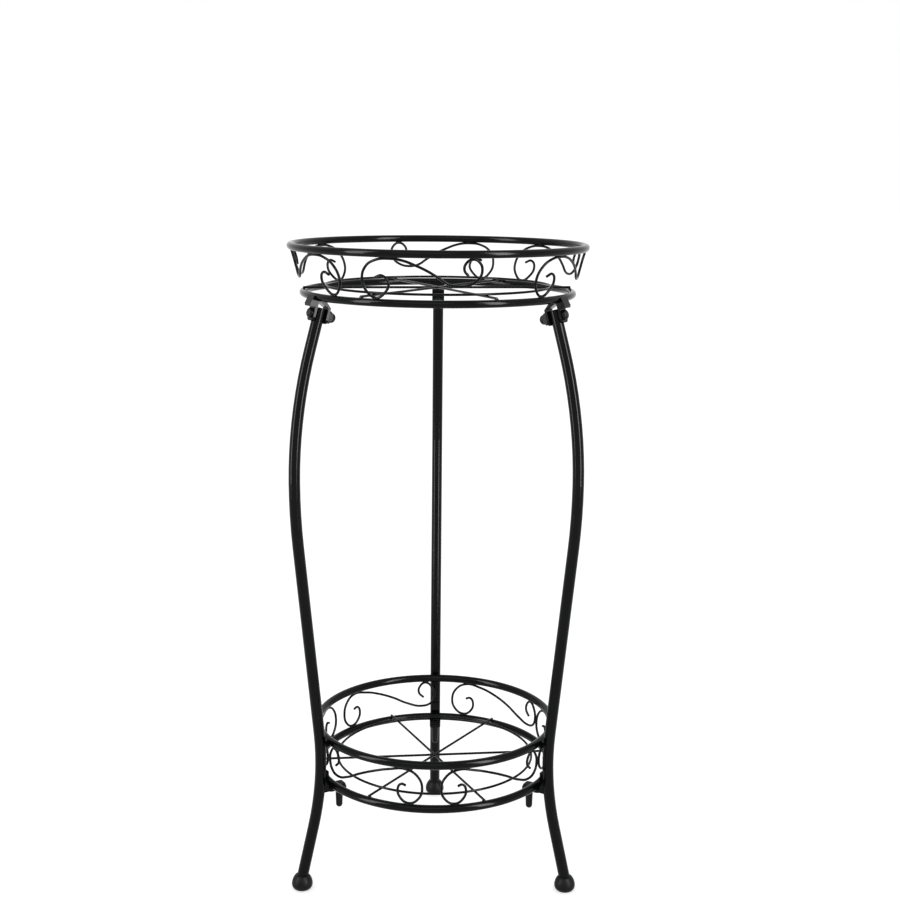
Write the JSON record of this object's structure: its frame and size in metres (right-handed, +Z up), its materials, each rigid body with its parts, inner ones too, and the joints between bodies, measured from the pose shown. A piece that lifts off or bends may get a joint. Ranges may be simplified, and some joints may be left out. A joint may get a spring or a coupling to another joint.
{
  "type": "two-tier plant stand",
  "caption": "Free-standing two-tier plant stand: three bowed tube legs carry two round wire trays with scrollwork galleries.",
  "frame": {"origin": "centre of the stand's outline on the floor plane; the rings' common axis is at Y = -9.75 mm, because one leg reaches further back than the rings reach forward", "axes": "+Z up from the floor; -Y is the front, between the left and right legs; +X to the right seen from the front; the third leg is at the back, at +Y"},
  "size_m": [0.3669, 0.3865, 0.8],
  "materials": {
    "powder_coated_steel": "satin_gloss",
    "black_fasteners": "satin",
    "foot_rubber": "matte"
  },
  "bodies": {
    "root": {"leg_left": "powder_coated_steel", "leg_right": "powder_coated_steel", "leg_back": "powder_coated_steel", "foot_cap_left": "foot_rubber", "foot_cap_right": "foot_rubber", "foot_cap_back": "foot_rubber", "top_shelf_ring": "powder_coated_steel", "top_gallery_ring": "powder_coated_steel", "top_floor_wires": "powder_coated_steel", "top_floor_ring": "powder_coated_steel", "top_scroll_1": "powder_coated_steel", "top_scroll_2": "powder_coated_steel", "top_scroll_3": "powder_coated_steel", "top_scroll_4": "powder_coated_steel", "top_scroll_5": "powder_coated_steel", "top_scroll_6": "powder_coated_steel", "top_bracket_left": "powder_coated_steel", "top_bracket_right": "powder_coated_steel", "top_bracket_back": "powder_coated_steel", "top_bolts": "black_fasteners", "top_cap_nuts": "black_fasteners", "lower_shelf_ring": "powder_coated_steel", "lower_gallery_ring": "powder_coated_steel", "lower_floor_wires": "powder_coated_steel", "lower_floor_ring": "powder_coated_steel", "lower_scroll_1": "powder_coated_steel", "lower_scroll_2": "powder_coated_steel", "lower_scroll_3": "powder_coated_steel", "lower_scroll_4": "powder_coated_steel", "lower_scroll_5": "powder_coated_steel", "lower_scroll_6": "powder_coated_steel", "lower_bracket_left": "powder_coated_steel", "lower_bracket_right": "powder_coated_steel", "lower_bracket_back": "powder_coated_steel", "tray_lugs": "powder_coated_steel", "gallery_tabs": "powder_coated_steel", "lower_bolts": "black_fasteners", "lower_sleeve_nuts": "black_fasteners"}
  },
  "joints": []
}
